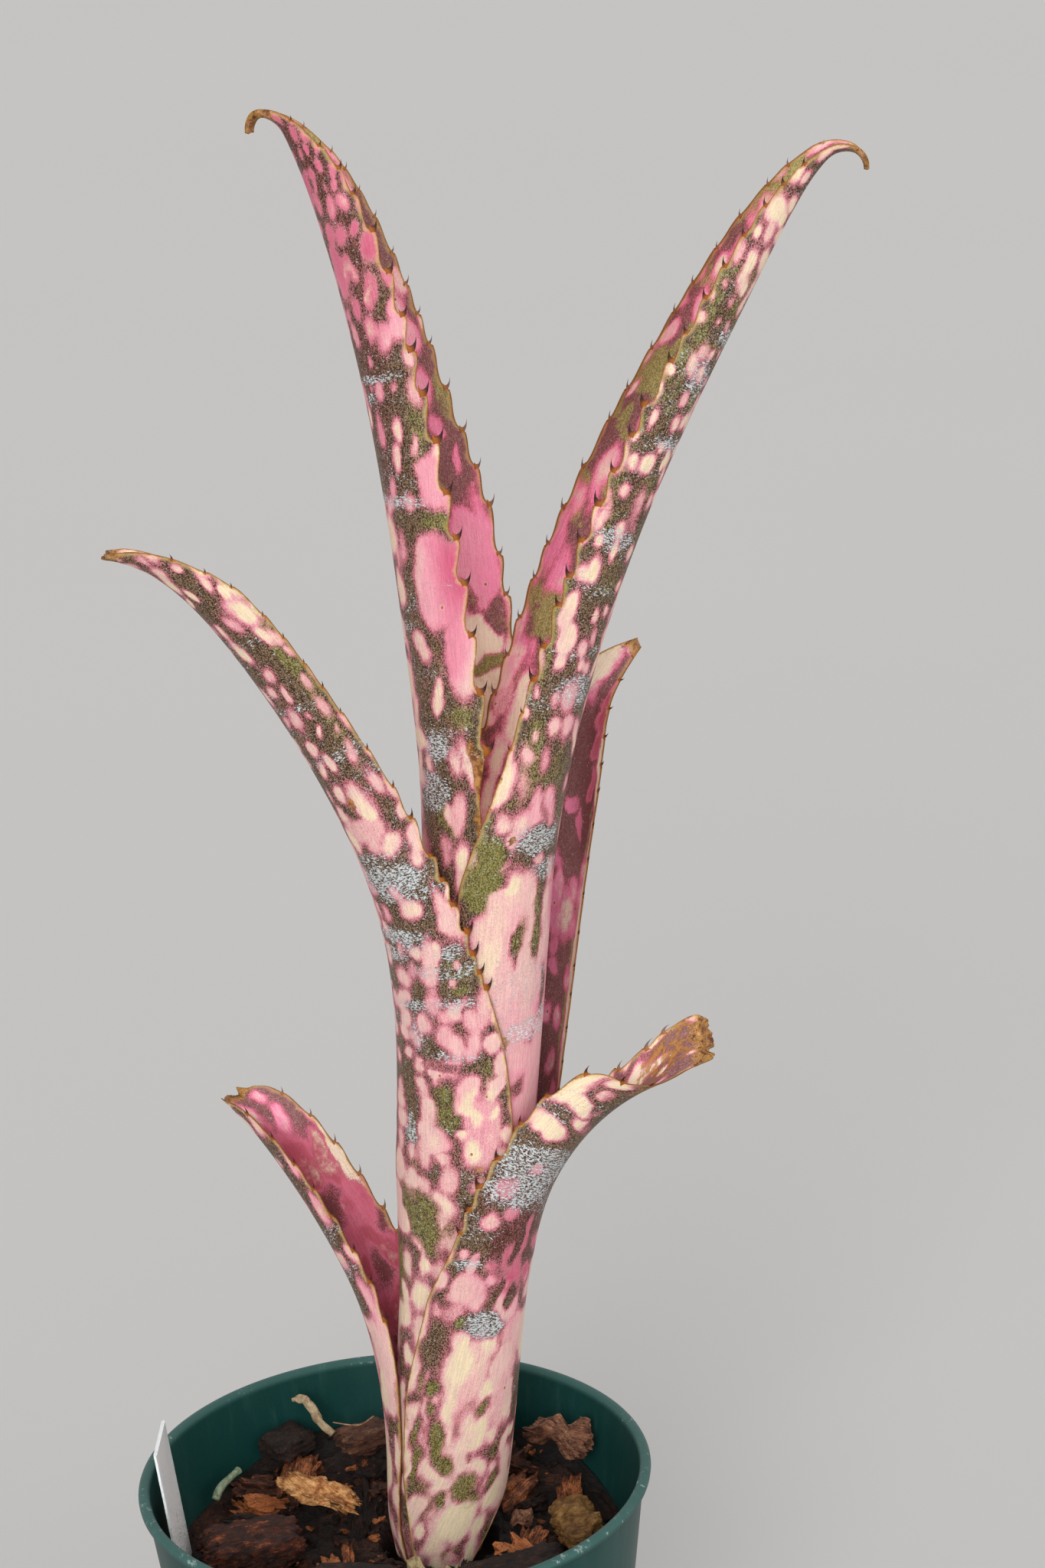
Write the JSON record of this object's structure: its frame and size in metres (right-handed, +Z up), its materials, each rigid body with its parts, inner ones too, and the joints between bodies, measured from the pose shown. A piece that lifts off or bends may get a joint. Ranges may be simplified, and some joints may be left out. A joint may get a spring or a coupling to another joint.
{
  "type": "potted bromeliad house plant",
  "caption": "Upright tubular bromeliad with rolled, spotted, spine-edged leaves, set in bark mix in a plain round tapered nursery pot with a blank plant label.",
  "frame": {"origin": "centre of the pot's flat underside, on the pot's axis", "axes": "+Z up along the pot's axis, -Y is the front, +X towards the side that the tallest right-hand leaf leans to"},
  "size_m": [0.1629, 0.108, 0.3803],
  "materials": {
    "pot": "moulded dark teal-green plastic with a slight sheen, dusty and limescaled inside",
    "potting_mix": "damp, nearly black bark and humus, rough",
    "stem_base": "dry brown stem tissue",
    "leaf_tall_left": "waxy leaf, cream and pink spots on brown-olive, grey scurf bands",
    "leaf_tall_right": "waxy leaf, cream and pink spots on grey-purple and olive, grey scurf bands",
    "leaf_rear_right": "waxy leaf, dark mauve inside with crimson streaks and a tan margin",
    "leaf_mid_left": "waxy leaf, cream spots on olive-brown with grey scurf bands",
    "leaf_low_left": "waxy leaf, dusky crimson inside with a yellow margin",
    "leaf_low_right": "waxy leaf, cream spots on maroon, magenta and grey scurf, dry orange tip",
    "dry_leaf_base": "dry beige leaf scrap with dark specks",
    "bark_flake_orange": "bright orange fibrous bark flake",
    "bark_dark_red": "dark red-brown bark",
    "bark_brown": "brown bark",
    "bark_red_tan": "red-tan bark",
    "bark_ochre": "ochre woody chip",
    "bark_near_black": "nearly black bark",
    "plant_label": "plain white plastic, slightly soiled",
    "dry_root": "dry beige root",
    "green_twig": "pale grey-green twig"
  },
  "bodies": {
    "root": {"pot": "pot", "potting_mix": "potting_mix", "stem_base": "stem_base", "leaf_tall_left": "leaf_tall_left", "leaf_tall_right": "leaf_tall_right", "leaf_rear_right": "leaf_rear_right", "leaf_mid_left": "leaf_mid_left", "leaf_low_left": "leaf_low_left", "leaf_low_right": "leaf_low_right", "dry_leaf_base": "dry_leaf_base", "dry_root": "dry_root", "green_twig": "green_twig", "plant_label": "plant_label", "bark_flake_orange": "bark_flake_orange", "bark_chunk_left": "bark_dark_red", "bark_chip_rear": "bark_brown", "bark_chip_rear_right": "bark_red_tan", "bark_chip_right": "bark_ochre", "bark_slab_front_right": "bark_near_black", "bark_chip_rear_left": "bark_near_black", "bark_chip_small_right": "bark_red_tan", "bark_chip_rear_middle": "bark_brown", "bark_slab_front": "bark_near_black", "bark_chip_front_left": "bark_brown", "bark_chip_front_edge": "bark_dark_red"}
  },
  "joints": []
}
